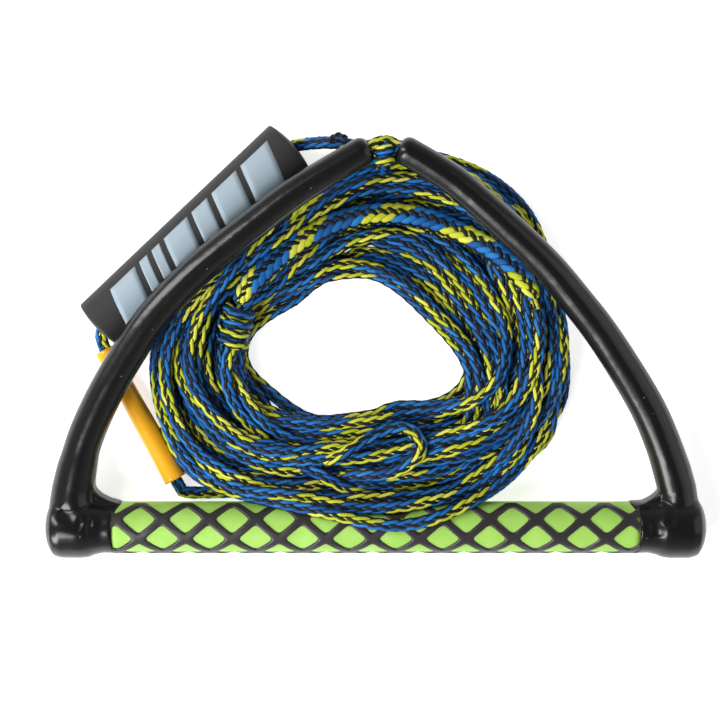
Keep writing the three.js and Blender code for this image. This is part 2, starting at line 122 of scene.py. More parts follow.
EYE_SPLICE_RADIUS = 0.00575
EYE_SPLICE_PITCH = 0.049
EYE_SPLICE = [
    (0.091, 0.1308), (0.0815, 0.145), (0.0686, 0.1574), (0.0532, 0.1665), (0.0363, 0.1749),
    (0.0137, 0.1795), (-0.0118, 0.1778), (-0.0259, 0.1732), (-0.0383, 0.1665),
    (-0.0525, 0.1563), (-0.0643, 0.1455), (-0.074, 0.1338), (-0.077, 0.1286),
]
HITCH_SPLICE = [
    (0.0045, 0.2084, 0.0420), (0.0045, 0.2070, 0.0378), (0.0045, 0.2056, 0.032),
    (0.0045, 0.2046, 0.026),
]
SPLICE_TAIL = [
    (-0.0262, 0.2196, 0.034), (-0.0235, 0.2215, 0.0372), (-0.0205, 0.2222, 0.038),
    (-0.0162, 0.2202, 0.0385),
]
ROPE_BIGHT = [
    (-0.0287, 0.0376), (-0.0217, 0.0406), (-0.0135, 0.0455), (-0.0016, 0.0523), (0.0091, 0.0562),
    (0.0182, 0.0565), (0.025, 0.0503), (0.0253, 0.0424), (0.0165, 0.0353), (0.0075, 0.0314),
    (-0.005, 0.0302), (-0.0197, 0.0294),
]

bar_low, bar_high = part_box("bar_tube")
LAY_ORIGIN = np.array([0.0, (bar_low.y + bar_high.y) / 2, (bar_low.z + bar_high.z) / 2 - BAR_HEIGHT])


def to_frame(points):
    return np.asarray(points, float) + LAY_ORIGIN


def tilted(points):
    """Points (x, y) or (x, y, z) in the handle's plane, as lay points."""
    p = np.asarray(points, float)
    height = p[:, 2] if p.shape[1] > 2 else np.zeros(len(p))
    y = p[:, 1] * math.cos(TILT) - height * math.sin(TILT)
    z = BAR_HEIGHT + p[:, 1] * math.sin(TILT) + height * math.cos(TILT)
    return np.stack([p[:, 0], y, z], axis=1)


# ---- Curves ----

SPAN_STEPS = 8  # fine points between two given points of a curve


def smooth_curve(points, step, closed=False):
    """Points a step apart on a Catmull-Rom curve through the given points."""
    p = np.asarray(points, float)
    before = p[-1:] if closed else 2 * p[:1] - p[1:2]
    after = p[:2] if closed else 2 * p[-1:] - p[-2:-1]
    q = np.concatenate([before, p, after])
    count = len(q) - 3
    t = (np.arange(SPAN_STEPS) / SPAN_STEPS)[None, :, None]
    a, b, c, d = (q[i:i + count, None, :] for i in range(4))
    bend, twist = 2 * a - 5 * b + 4 * c - d, 3 * b - a - 3 * c + d
    fine = 0.5 * (2 * b + (c - a) * t + bend * t**2 + twist * t**3)
    fine = np.concatenate([fine.reshape(-1, p.shape[1]), q[-2:-1]])
    run = run_along(fine)
    wanted = np.linspace(0, run[-1], max(3, int(round(run[-1] / step)) + 1))
    return np.stack([np.interp(wanted, run, fine[:, i]) for i in range(p.shape[1])], axis=1)


def run_along(path):
    """The distance along a path at each of its points."""
    return np.concatenate([[0], np.cumsum(np.linalg.norm(np.diff(path, axis=0), axis=1))])


def unit(vectors):
    return vectors / np.linalg.norm(vectors, axis=-1, keepdims=True)


def tangents(path):
    return unit(np.gradient(path, axis=0))


def side_and_over(ahead, up=(0, 0, 1)):
    """Unit vectors at right angles to the way ahead: one across up, the other nearest to it."""
    side = unit(np.cross(ahead, up))
    return side, np.cross(side, ahead)


def circle(sides):
    """The angles of evenly spaced points round a circle."""
    return 2 * np.pi * np.arange(sides) / sides


def rings_round(centres, side, over, half_width, half_height, sides):
    """A ring of points round each centre."""
    angle = circle(sides)[None, :, None]
    wide = side[:, None] * np.cos(angle) * half_width
    return centres[:, None] + wide + over[:, None] * np.sin(angle) * half_height


def turned(path, profile, sides, squash=1.0):
    """Rings of a profile of (distance, radius) turned round a path."""
    run = run_along(path)
    distance, radius = np.array(profile).T
    place, ahead = (
        np.stack([np.interp(distance, run, values[:, i]) for i in range(3)], axis=1)
        for values in (path, tangents(path)))
    radius = radius[:, None, None]
    return rings_round(place, *side_and_over(unit(ahead)), radius, squash * radius, sides)


# ---- Meshes ----

def add_object(name, mesh, materials):
    """Puts a mesh in the scene as a smooth-shaded object."""
    mesh.polygons.foreach_set("use_smooth", np.full(len(mesh.polygons), True))
    for material in materials:
        mesh.materials.append(material)
    piece = bpy.data.objects.new(name, mesh)
    bpy.context.scene.collection.objects.link(piece)
    return piece


def add_mesh(name, vertices, faces, materials, face_materials=None):
    """An object from arrays. faces is one array of quads or triangles."""
    vertices = np.asarray(vertices, np.float32).reshape(-1, 3)
    faces = np.asarray(faces, np.int32)
    mesh = bpy.data.meshes.new(name)
    mesh.vertices.add(len(vertices))
    mesh.vertices.foreach_set("co", vertices.ravel())
    sides = faces.shape[1]
    mesh.loops.add(faces.size)
    mesh.loops.foreach_set("vertex_index", faces.ravel())
    mesh.polygons.add(len(faces))
    mesh.polygons.foreach_set("loop_start", np.arange(0, faces.size, sides, dtype=np.int32))
    if face_materials is not None:
        mesh.polygons.foreach_set("material_index", np.asarray(face_materials, np.int32))
    mesh.update(calc_edges=True)
    mesh.validate()
    return add_object(name, mesh, materials)


def tube_faces(rings, sides):
    """Quads that face out, between rings of vertices, each ring closed on itself."""
    ring = np.arange(rings - 1)[:, None] * sides
    side = np.arange(sides)[None, :]
    following = (side + 1) % sides
    above = ring + sides
    return np.stack([ring + side, above + side, above + following, ring + following], axis=-1).reshape(-1, 4)


SQUARE_CAP = [[0, 1, 2, 3]]
OCTAGON_CAP = [[0, 1, 2, 3], [0, 3, 4, 7], [4, 5, 6, 7]]


def closed_tube(rings, cap):
    """Vertices and quads of a tube, closed at both ends with the quads of a cap."""
    count, sides = rings.shape[:2]
    cap = np.array(cap)
    faces = np.concatenate([tube_faces(count, sides), cap, cap[:, ::-1] + (count - 1) * sides])
    return rings.reshape(-1, 3), faces


def joined(parts):
    """Vertices and faces of several closed parts as one set."""
    vertices = np.concatenate([v for v, _ in parts])
    starts = np.cumsum([0] + [len(v) for v, _ in parts[:-1]])
    faces = np.concatenate([f + start for (_, f), start in zip(parts, starts)])
    return vertices, faces


# ---- Materials ----

def plain_material(name, color, roughness, **sockets):
    material = bpy.data.materials.new(name)
    material.use_nodes = True
    shader = material.node_tree.nodes["Principled BSDF"]
    shader.inputs["Base Color"].default_value = (*color, 1)
    shader.inputs["Roughness"].default_value = roughness
    for socket, value in sockets.items():
        shader.inputs[socket.replace("_", " ")].default_value = value
    return material


def add_noise_bump(material, scale, strength, distance, detail=4.0, stretch=(1, 1, 1)):
    """Fine relief from noise in the piece's own space."""
    tree = material.node_tree
    place = tree.nodes.new("ShaderNodeTexCoord")
    mapping = tree.nodes.new("ShaderNodeMapping")
    noise = tree.nodes.new("ShaderNodeTexNoise")
    bump = tree.nodes.new("ShaderNodeBump")
    mapping.inputs["Scale"].default_value = stretch
    noise.inputs["Scale"].default_value = scale
    noise.inputs["Detail"].default_value = detail
    bump.inputs["Strength"].default_value = strength
    bump.inputs["Distance"].default_value = distance
    tree.links.new(place.outputs["Object"], mapping.inputs["Vector"])
    tree.links.new(mapping.outputs["Vector"], noise.inputs["Vector"])
    tree.links.new(noise.outputs["Fac"], bump.inputs["Height"])
    shader = tree.nodes["Principled BSDF"]
    tree.links.new(bump.outputs["Normal"], shader.inputs["Normal"])


def add_color_noise(material, scale, dark, light, detail=3.0):
    """Soft changes of colour between two tones."""
    tree = material.node_tree
    place = tree.nodes.new("ShaderNodeTexCoord")
    noise = tree.nodes.new("ShaderNodeTexNoise")
    ramp = tree.nodes.new("ShaderNodeValToRGB")
    noise.inputs["Scale"].default_value = scale
    noise.inputs["Detail"].default_value = detail
    ramp.color_ramp.elements[0].position = 0.35
    ramp.color_ramp.elements[0].color = (*dark, 1)
    ramp.color_ramp.elements[1].position = 0.65
    ramp.color_ramp.elements[1].color = (*light, 1)
    tree.links.new(place.outputs["Object"], noise.inputs["Vector"])
    tree.links.new(noise.outputs["Fac"], ramp.inputs["Fac"])
    tree.links.new(ramp.outputs["Color"], tree.nodes["Principled BSDF"].inputs["Base Color"])


def add_specks(material, scale, reach, color):
    """Rare tiny specks of dust over the material's own colour."""
    tree = material.node_tree
    shader = tree.nodes["Principled BSDF"]
    place = tree.nodes.new("ShaderNodeTexCoord")
    cells = tree.nodes.new("ShaderNodeTexVoronoi")
    mask = tree.nodes.new("ShaderNodeMath")
    mix = tree.nodes.new("ShaderNodeMix")
    mix.data_type = "RGBA"
    cells.inputs["Scale"].default_value = scale
    mask.operation = "LESS_THAN"
    mask.inputs[1].default_value = reach
    mix.inputs["A"].default_value = shader.inputs["Base Color"].default_value
    mix.inputs["B"].default_value = (*color, 1)
    tree.links.new(place.outputs["Object"], cells.inputs["Vector"])
    tree.links.new(cells.outputs["Distance"], mask.inputs[0])
    tree.links.new(mask.outputs["Value"], mix.inputs["Factor"])
    tree.links.new(mix.outputs["Result"], shader.inputs["Base Color"])


def strand_material(name, color, roughness=0.55):
    """Soft plastic yarn, matt with a fine grain of filaments."""
    material = plain_material(name, color, roughness, Specular_IOR_Level=0.25)
    add_noise_bump(material, scale=2600, strength=0.5, distance=0.00015, detail=2)
    return material


def strand_tones(name, colors):
    return [strand_material(f"strand_{name}_{i}", color) for i, color in enumerate(colors)]


BLACK_TONES = strand_tones("black", [(0.004, 0.0035, 0.0045), (0.007, 0.006, 0.007), (0.016, 0.012, 0.014)])
BLUE_TONES = strand_tones("blue", [(0.0035, 0.082, 0.28), (0.005, 0.115, 0.37), (0.012, 0.165, 0.48)])
YELLOW_TONES = strand_tones("yellow", [(0.43, 0.49, 0.018), (0.55, 0.59, 0.035), (0.66, 0.68, 0.08)])
# The core inside the braid is coloured near black as painted shade, which shows in the gaps between the
# strands.
CORE_PAINTED_SHADE = strand_material("braid_core_painted_shade", (0.001, 0.0012, 0.0025), roughness=0.9)
ROPE_MATERIALS = [*BLACK_TONES, *BLUE_TONES, *YELLOW_TONES, CORE_PAINTED_SHADE]
BLACK_SLOT, BLUE_SLOT, YELLOW_SLOT, PAINTED_SHADE_CORE_SLOT = 0, 3, 6, 9

vinyl = plain_material("black_vinyl", (0.0065, 0.0065, 0.0070), roughness=0.24, IOR=1.42)
add_noise_bump(vinyl, scale=55, strength=0.35, distance=0.0012, detail=2.5)
add_specks(vinyl, scale=95, reach=0.045, color=(0.10, 0.10, 0.10))
grip_foam = plain_material("grip_foam", (0.38, 0.80, 0.10), roughness=0.6)
add_color_noise(grip_foam, scale=60, dark=(0.30, 0.56, 0.080), light=(0.36, 0.63, 0.115))
add_noise_bump(grip_foam, scale=1800, strength=0.35, distance=0.0002)
lattice_rubber = plain_material("lattice_rubber", (0.021, 0.018, 0.019), roughness=0.4)
add_noise_bump(lattice_rubber, scale=1500, strength=0.25, distance=0.0002)
float_foam = plain_material("float_foam", (0.024, 0.023, 0.023), roughness=0.6, Specular_IOR_Level=0.3)
add_noise_bump(float_foam, scale=1400, strength=0.5, distance=0.0003)
print_ink = plain_material("print_ink", (0.31, 0.39, 0.45), roughness=0.55)
add_noise_bump(print_ink, scale=1400, strength=0.4, distance=0.0002)
amber = plain_material(
    "amber_tube", (1.0, 0.47, 0.018), roughness=0.22, Transmission_Weight=0.12, IOR=1.45, Coat_Weight=0.4)
add_noise_bump(amber, scale=90, strength=0.2, distance=0.0008, detail=1)
aluminium = plain_material("aluminium", (0.72, 0.73, 0.75), roughness=0.35, Metallic=1.0)
add_noise_bump(aluminium, scale=900, strength=0.2, distance=0.0001, stretch=(0.05, 1, 1))
plug_plastic = plain_material("plug_plastic", (0.03, 0.03, 0.03), roughness=0.5)
add_noise_bump(plug_plastic, scale=1600, strength=0.2, distance=0.0001)


# ---- Camera ----

CAMERA_HEIGHT = 0.850
CAMERA_LENS = 72.3
CAMERA_PLACE = (-0.00894, 0.0958, CAMERA_HEIGHT)

camera_data = bpy.data.cameras.new("camera")
camera_data.lens = CAMERA_LENS
camera_data.sensor_width = 36
camera = bpy.data.objects.new("camera", camera_data)
camera.location = to_frame([CAMERA_PLACE])[0]
bpy.context.scene.collection.objects.link(camera)
bpy.context.scene.camera = camera


# ---- How the coil lies ----

def around(radii, turns):
    """A smooth closed outline's radius at places round it, given evenly spaced radii."""
    terms = np.fft.rfft(radii) / len(radii)
    order = np.arange(len(terms))
    weight = np.where((order == 0) | (order == len(radii) // 2), 1, 2)
    return np.real((weight * terms) * np.exp(2j * np.pi * np.outer(turns, order))).sum(axis=1)


PACKED = 0.0062  # distance at which two ropes of the coil rest on each other
OVER_TURNS = 10  # the last turns, every other one of which climbs over the grip
CLIMB_FROM, CLIMB_TO = 250 / 360, 312 / 360  # where in a turn it lies over the grip
CLIMB_HEIGHT = 0.036
TURN_RISE = 0.00078  # each turn starts this much above the one before
EYE_RISE = 0.003
GRIP_CLEAR = 0.0156
SPLICE_CLEAR = 0.0042
ARM_GAP = 0.0002
ARMS_ABOVE = 0.012  # lower ropes aren't tested against the arms

BUNDLE_TURNS = (19, 22, 25, 28)  # turns bound together by the wraps
BUNDLE_LOW, BUNDLE_HIGH = 0.016, 0.025
BUNDLE_REACH = 10  # degrees to each side of the wraps
WRAP_ROOM_REACH = 11
WRAP_ROOM_WIDTH, WRAP_ROOM_HEIGHT = 0.015, 0.014  # half sizes of the room kept for the wraps
WRAP_ROOM_MIDDLE = 0.022

LANE_ANGLES = np.arange(6) / 6
LANE_SCATTER = 0.18
LATE_SCATTER = 0.1
OVER_GRIP_LANE = np.array([0.95, 0.80, 0.75, 0.90, 0.97, 1.0])
CROSSING_LANE = np.array([0.70, 0.95, 0.70, 0.60, 0.35, 0.35])
LOOSE_TURNS = 8  # turns at the bottom that pass freely under the wraps

SETTLE_STEPS = 700
EARLY_STEPS = 420
SINK_STEPS, FAST_SINK_STEPS = 595, 350
FAST_SINK, SLOW_SINK = 0.00016, 0.00005
# How fast a point goes back to its lane, and how fast the rope straightens sideways and upwards.
EARLY_RATES = (0.02, 0.25, 0.3)
LATE_RATES = (0.006, 0.1, 0.12)
PUSH_RATE = 0.4
BUNDLE_RATE = 0.3
WRAP_PUSH_RATE = 0.5


def coil_lanes(random, turn_count):
    """Where each turn lies across the coil, from 0 inside to 1 outside, at LANE_ANGLES."""
    order = random.permutation(turn_count) / (turn_count - 1)
    scatter = random.uniform(-LANE_SCATTER, LANE_SCATTER, (turn_count, 6))
    lanes = np.clip(order[:, None] + scatter, 0, 1)
    # The first turn comes from the sleeve along the outside, two others fill the side by the hitch.
    lanes[0, 3:] = [1, 1, 0.8]
    lanes[[4, 15], 1:3] = 1
    for turn in range(turn_count):
        late = turn - (turn_count - OVER_TURNS)
        if late >= 0 and late % 2:
            spread = 0.05 * (late // 2) * np.array([0.5, 0.5, 0.5, 0.5, 0.3, 1])
            jitter = random.uniform(-LATE_SCATTER, LATE_SCATTER, 6) * np.array([1, 1, 1, 1, 0.4, 0.1])
            lanes[turn] = OVER_GRIP_LANE - spread + jitter
        elif late >= 0:
            lanes[turn] = CROSSING_LANE + random.uniform(-LATE_SCATTER, LATE_SCATTER, 6)
        if turn in BUNDLE_TURNS:
            lanes[turn, 2:5] = np.minimum(lanes[turn, 2:5], [0.3, 0.16, 0.5])
        elif turn > LOOSE_TURNS:
            lanes[turn, 3] = 0.45 + 0.55 * lanes[turn, 3]
    return lanes


def ropes_at_stations(station):
    """A row for each station with the numbers of the rope points there, filled up with -1."""
    order = np.argsort(station, kind="stable")
    column = np.arange(len(station)) - np.searchsorted(station[order], station[order])
    crossing = np.full((COIL_STATIONS, column.max() + 1), -1)
    crossing[station[order], column] = order
    return crossing


def push_apart(radius, height, crossing, both, reach):
    """Pushes ropes that cross the same station apart where they overlap."""
    across, up = radius[crossing], height[crossing]
    by_across = across[:, None, :] - across[:, :, None]
    by_up = up[:, None, :] - up[:, :, None]
    distance = np.sqrt(by_across**2 + by_up**2) + 1e-9
    overlap = np.where(both, np.maximum(reach - distance, 0), 0)
    push = PUSH_RATE * overlap / distance
    share = np.sqrt(np.maximum((overlap > 0).sum(axis=2), 1))
    filled = crossing >= 0
    radius[crossing[filled]] -= ((push * by_across).sum(axis=2) / share)[filled]
    height[crossing[filled]] -= ((push * by_up).sum(axis=2) / share)[filled]


def gather_bundle(radius, height, bundled, beside):
    """Draws the bundled turns together and pushes the others out of the wraps' room."""
    radius[bundled] += BUNDLE_RATE * (WRAP_RADIUS - radius[bundled])
    height[bundled] += BUNDLE_RATE * (np.clip(height[bundled], BUNDLE_LOW, BUNDLE_HIGH) - height[bundled])
    across = (radius[beside] - WRAP_RADIUS) / WRAP_ROOM_WIDTH
    up = (height[beside] - WRAP_ROOM_MIDDLE) / WRAP_ROOM_HEIGHT
    inside = np.hypot(across, up)
    out = WRAP_PUSH_RATE * np.where(inside < 1, 1 / np.maximum(inside, 0.05) - 1, 0)
    radius[beside] += out * across * WRAP_ROOM_WIDTH
    height[beside] += out * up * WRAP_ROOM_HEIGHT


def clear_grip(radius, height, thick, sine):
    """Lifts the rope off the grip."""
    y = COIL_CENTRE[1] + radius * sine
    from_bar = np.hypot(y, height - BAR_HEIGHT)
    out = np.maximum(GRIP_CLEAR + thick - from_bar, 0) / np.maximum(from_bar, 1e-6)
    height += out * (height - BAR_HEIGHT)
    radius += out * y * sine


def clear_arms(radius, height, thick, cosine, sine, above, above_thick):
    """Presses the rope down and aside where an arm or the hitch's splice lies on it."""
    high = np.flatnonzero(height > ARMS_ABOVE)
    points = np.stack([
        COIL_CENTRE[0] + radius[high] * cosine[high],
        COIL_CENTRE[1] + radius[high] * sine[high], height[high]], axis=1)
    apart = np.linalg.norm(points[:, None, :] - above[None], axis=2)
    nearest = apart.argmin(axis=1)
    distance = apart[np.arange(len(high)), nearest]
    out = np.maximum(above_thick[nearest] + thick[high] + ARM_GAP - distance, 0) / distance
    way = (points - above[nearest]) * out[:, None]
    height[high] -= np.abs(way[:, 2])
    radius[high] += way[:, 0] * cosine[high] + way[:, 1] * sine[high]


def settle_coil():
    """Lets the coil's turns settle on each other, the grip and the arms.

    Each turn is a row of stations round the coil's centre with a radius and a height. At every
    station the turns that cross it push each other apart where they overlap, and along the rope
    neighbouring stations are kept in line. Returns the rope's points and the thick splice's.
    """
    random = np.random.default_rng(5)
    start = round(COIL_START / (2 * math.pi) * COIL_STATIONS)
    eye = np.array(EYE_SPLICE) - COIL_CENTRE
    eye_turns = np.arctan2(eye[:, 1], eye[:, 0]) / (2 * np.pi)
    eye_first, eye_last = (round(t * COIL_STATIONS) for t in (eye_turns[0], eye_turns[-1]))
    count = COIL_TURNS * COIL_STATIONS + (eye_last - start) % COIL_STATIONS + 1
    index = start + np.arange(count)
    station, turn = index % COIL_STATIONS, index // COIL_STATIONS
    part = station / COIL_STATIONS
    angle = 2 * np.pi * part
    cosine, sine = np.cos(angle), np.sin(angle)
    turn_count = turn.max() + 1
    in_eye = index >= (turn_count - 1) * COIL_STATIONS + eye_first
    thick = np.where(in_eye, EYE_SPLICE_RADIUS, PACKED / 2)

    lanes = coil_lanes(random, turn_count)
    knots = (np.arange(turn_count)[:, None] + LANE_ANGLES) * COIL_STATIONS
    lane = np.interp(index, knots.ravel(), lanes.ravel())
    kernel = np.hanning(19) / np.hanning(19).sum()
    lane = np.convolve(np.pad(lane, 9, mode="edge"), kernel, "valid")

    outer = around(COIL_OUTER, part) - thick
    inner = around(COIL_INNER, part) + thick
    may_climb = turn >= turn_count - OVER_TURNS
    behind_grip = (COIL_CENTRE[1] - GRIP_CLEAR - PACKED / 2) / np.maximum(-sine, 0.3)
    outer = np.where((sine < -0.5) & ~may_climb, np.minimum(outer, behind_grip), outer)
    target = inner + (outer - inner) * np.clip(lane, 0, 1)
    target[in_eye] = np.interp(part[in_eye], eye_turns, np.hypot(*eye.T))

    radius = target.copy()
    height = thick + (index - start) / COIL_STATIONS * TURN_RISE
    height[in_eye] += EYE_RISE
    climbs = may_climb & ((turn - turn.max()) % 2 == 0) & (part > CLIMB_FROM) & (part < CLIMB_TO)
    height[climbs] = np.maximum(height[climbs], CLIMB_HEIGHT)

    crossing = ropes_at_stations(station)
    empty = crossing < 0
    both = ~(empty[:, :, None] | empty[:, None, :]) & ~np.eye(crossing.shape[1], dtype=bool)
    reach = thick[crossing][:, :, None] + thick[crossing][:, None, :]

    arms = [smooth_curve(tilted(points), 0.004) for points in (ARM_LEFT, ARM_RIGHT)]
    splice = smooth_curve(HITCH_SPLICE, 0.003)
    above = np.concatenate([*arms, splice])
    above_thick = np.concatenate([
        *(np.linspace(ARM_FOOT_RADIUS, ARM_TIP_RADIUS, len(arm)) for arm in arms),
        np.full(len(splice), SPLICE_CLEAR)])

    from_wrap = np.abs(part - WRAP_ANGLE / (2 * np.pi)) * 360
    bundled = np.isin(turn, BUNDLE_TURNS) & (from_wrap < BUNDLE_REACH)
    beside_wrap = (from_wrap < WRAP_ROOM_REACH) & ~bundled

    for step in range(SETTLE_STEPS):
        to_lane, sideways, upwards = EARLY_RATES if step < EARLY_STEPS else LATE_RATES
        if step < SINK_STEPS:
            height -= FAST_SINK if step < FAST_SINK_STEPS else SLOW_SINK
        radius += to_lane * (target - radius)
        radius[in_eye] = target[in_eye]
        radius[1:-1] += sideways * ((radius[:-2] + radius[2:]) / 2 - radius[1:-1])
        height[1:-1] += upwards * ((height[:-2] + height[2:]) / 2 - height[1:-1])
        push_apart(radius, height, crossing, both, reach)
        gather_bundle(radius, height, bundled, beside_wrap)
        clear_grip(radius, height, thick, sine)
        if step % 3 == 0:
            clear_arms(radius, height, thick, cosine, sine, above, above_thick)
        radius = np.clip(radius, inner, outer)
        height = np.maximum(height, thick)

    points = np.stack([
        COIL_CENTRE[0] + radius * cosine, COIL_CENTRE[1] + radius * sine, height], axis=1)
    for _ in range(2):
        points[1:-1] += 0.25 * (points[:-2] + points[2:] - 2 * points[1:-1])
    return points[~in_eye], points[in_eye]


# ---- Braided rope ----

STRAND_RISE = 0.0007  # from a strand's middle line to the outside of the braid
STRAND_SHARES = 1.72  # what a black and a coloured strand fill of their room, added up
STRAND_SWELL = 0.24  # how much wider a strand is where it lies on top
# A strand's section, as parts of its width and heights over its middle line.
STRAND_SECTION = [(-0.5, -0.0006), (-0.25, 0.0004), (0.25, 0.0004), (0.5, -0.0006)]
TONE_STATIONS = 14  # points between changes of tone along a strand
END_NARROWING = 0.42
CORE_INSET = 0.0004
CORE_SIDES = 8


def braid(name, path, width=ROPE_WIDTH, height=ROPE_HEIGHT, pitch=ROPE_PITCH, phase=0.0,
          relief=0.0004, flat_to=(0, 0, 1), taper=0.0, black=0.80):
    """A two-over-two braid of flat strands along a path of evenly spaced points.

    One hand of strands is black, the other has some yellow among the blue. A strand's height
    follows a wave that passes over two strands and under two. The braid is flattened towards
    flat_to, which the path never runs along, and narrows over the length taper at both ends.
    black is the share of its room that a black strand fills.
    """
    run = run_along(path)[:, None]
    forward = tangents(path)
    sideways, upward = side_and_over(forward, flat_to)
    from_end = np.minimum(run, run[-1] - run)
    narrow = 1 - END_NARROWING * np.clip(1 - from_end / taper, 0, 1)**2 if taper else np.ones_like(run)
    half_width = ((width / 2 - STRAND_RISE) * narrow)[..., None]
    half_height = ((height / 2 - STRAND_RISE) * narrow)[..., None]
    turn_rate = -2 * np.pi / pitch
    crossings = 2 * STRANDS_PER_HAND * run / pitch
    girth = math.pi * (width + height) / 2
    strand_width = girth / STRANDS_PER_HAND * math.cos(math.atan(girth / pitch))
    number = np.arange(STRANDS_PER_HAND)[None, :]
    ahead3, side3, up3 = forward[:, None, :], sideways[:, None, :], upward[:, None, :]
    stretch = np.arange(len(path) - 1) // TONE_STATIONS
    tone = np.random.default_rng(len(path))
    parts, face_slots = [], []
    for hand, lead, share in ((1, 0.5, black), (-1, 1.5, STRAND_SHARES - black)):
        angle = circle(STRANDS_PER_HAND) + hand * turn_rate * run + phase
        wave = np.cos(np.pi / 2 * (crossings - lead + 2 * number))
        c, s = np.cos(angle)[..., None], np.sin(angle)[..., None]
        outward = unit(side3 * c * half_height + up3 * s * half_width)
        centre = path[:, None, :] + side3 * c * half_width + up3 * s * half_height
        centre = centre + outward * (relief * wave)[..., None]
        along = unit(ahead3 + hand * turn_rate * (up3 * c * half_height - side3 * s * half_width))
        across = np.cross(outward, along)
        wide = (strand_width * share * (1 + STRAND_SWELL * wave) * narrow)[..., None]
        rings = np.stack([centre + across * wide * a + outward * h for a, h in STRAND_SECTION], axis=2)
        for strand in range(STRANDS_PER_HAND):
            colored = YELLOW_SLOT if strand < YELLOW_STRANDS else BLUE_SLOT
            slot = BLACK_SLOT if hand > 0 else colored
            tones = tone.integers(0, 3, stretch[-1] + 1)[stretch]
            parts.append(closed_tube(rings[:, strand], SQUARE_CAP))
            face_slots += [np.repeat(slot + tones, 4), [slot, slot]]
    # A core under the strands, in the near-black painted shade material, darkens the gaps between them.
    some = np.append(np.arange(0, len(path) - 1, 2), len(path) - 1)
    core = rings_round(
        path[some], sideways[some], upward[some],
        half_width[some] - CORE_INSET, half_height[some] - CORE_INSET, CORE_SIDES)
    parts.append(closed_tube(core, OCTAGON_CAP))
    face_slots.append(np.full(len(parts[-1][1]), PAINTED_SHADE_CORE_SLOT))
    return add_mesh(name, *joined(parts), ROPE_MATERIALS, np.concatenate(face_slots))


def ride(piece, body, slot, *nodes):
    """A piece rides on a body and stands for CAD nodes, which it hides. The slot is not used."""
    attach(piece, body)
    if nodes:
        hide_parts(*nodes)
    return piece


coil_points, eye_points = settle_coil()
rope_points = np.concatenate([smooth_curve(TOW_LINE, 0.006)[:-1], coil_points])
rope_path = smooth_curve(to_frame(rope_points), STRAND_STEP)
tow_rope = ride(braid("tow_rope", rope_path), "handle", "rope", "tow_line", "rope_coil")

eye_path = smooth_curve(to_frame(eye_points), STRAND_STEP)
eye_splice = ride(
    braid("eye_splice_braid", eye_path, width=0.0124, height=0.0108, pitch=EYE_SPLICE_PITCH,
          relief=0.0006, taper=0.016, black=0.62),
    "handle", "rope", "eye_splice")

BIGHT_DIP, BIGHT_DIP_POINTS = 0.006, 6  # how far, and over how many points, its ends dip in


def resting_heights(places, pile):
    """Heights at which a rope lies on a pile of ropes, at places (x, y)."""
    apart = np.hypot(places[:, None, 0] - pile[None, :, 0], places[:, None, 1] - pile[None, :, 1])
    lift = np.sqrt(np.maximum(PACKED**2 - apart**2, 0))
    heights = np.where(apart < PACKED, pile[None, :, 2] + lift, 0).max(axis=1)
    return np.convolve(np.pad(heights, 4, mode="edge"), np.ones(9) / 9, "valid")


bight_places = smooth_curve(np.array(ROPE_BIGHT), STRAND_STEP)
bight_heights = resting_heights(bight_places, coil_points)
from_end = np.minimum(np.arange(len(bight_places)), np.arange(len(bight_places))[::-1])
bight_heights = bight_heights - BIGHT_DIP * np.clip(1 - from_end / BIGHT_DIP_POINTS, 0, 1)
bight_points = np.column_stack([bight_places, bight_heights])
rope_bight = ride(
    braid("rope_bight_braid", to_frame(bight_points), phase=0.6), "handle", "rope", "rope_bight")

# ---- Wraps round the coil's inner ropes ----

WRAP_TURNS = 4
WRAP_SAG = 0.0022
WRAP_HALF_WIDTH, WRAP_HALF_HEIGHT = 0.0068, 0.0094
WRAP_MIDDLE = 0.0212
WRAP_LEAN = math.radians(-12)


def wrap_path():
    """Turns of rope round the bundle, side by side along it."""
    centre = np.array([
        COIL_CENTRE[0] + WRAP_RADIUS * math.cos(WRAP_ANGLE),
        COIL_CENTRE[1] + WRAP_RADIUS * math.sin(WRAP_ANGLE), WRAP_MIDDLE])
    along = np.array([-math.sin(WRAP_LEAN), math.cos(WRAP_LEAN), 0])
    across = np.array([along[1], -along[0], 0])
    t = np.linspace(0, 1, 140)[:, None]
    angle = 2 * np.pi * WRAP_TURNS * t - np.pi / 2
    points = centre + along * (t - 0.5) * (WRAP_TURNS * ROPE_HEIGHT)
    points = points + across * WRAP_HALF_WIDTH * np.cos(angle) - along * WRAP_SAG * np.sin(angle)
    points = points + np.array([0, 0, 1]) * WRAP_HALF_HEIGHT * np.sin(angle)
    return points, along


wrap_points, wrap_axis = wrap_path()
coil_wraps = ride(
    braid("coil_wraps_braid", smooth_curve(to_frame(wrap_points), 0.0022), width=0.0062, height=0.0058,
          phase=1.2, flat_to=wrap_axis),
    "handle", "rope", "coil_wraps")

# ---- Hitch on the bridle, and its splice ----

BRIDLE_TOP = (0.0045, 0.2196)
HITCH_WRAPS = (0.2146, 0.2090)  # where two turns of the tow rope bind the bridle
HITCH_HALF_WIDTH, HITCH_HALF_HEIGHT = 0.0036, 0.0050
HITCH_SLANT = 0.0006


def hitch_wrap(y):
    """One turn round the bridle rope between the arm tips."""
    angle = np.linspace(0, 2 * np.pi, 60)[:-1]
    x = BRIDLE_TOP[0] + HITCH_HALF_WIDTH * np.cos(angle)
    z = HITCH_HALF_HEIGHT * np.sin(angle)
    points = tilted(np.stack([x, y + HITCH_SLANT * np.cos(angle), z], axis=1))
    return smooth_curve(to_frame(points), 0.002, closed=True)


for number, (y, phase) in enumerate(zip(HITCH_WRAPS, (0.2, 2.9))):
    wrap = braid(f"hitch_wrap_{number}", hitch_wrap(y), width=0.0058, height=0.0056, phase=phase,
                 flat_to=(0, 1, 0))
    ride(wrap, "handle", "rope", *(["bridle_hitch"] if number == 0 else []))

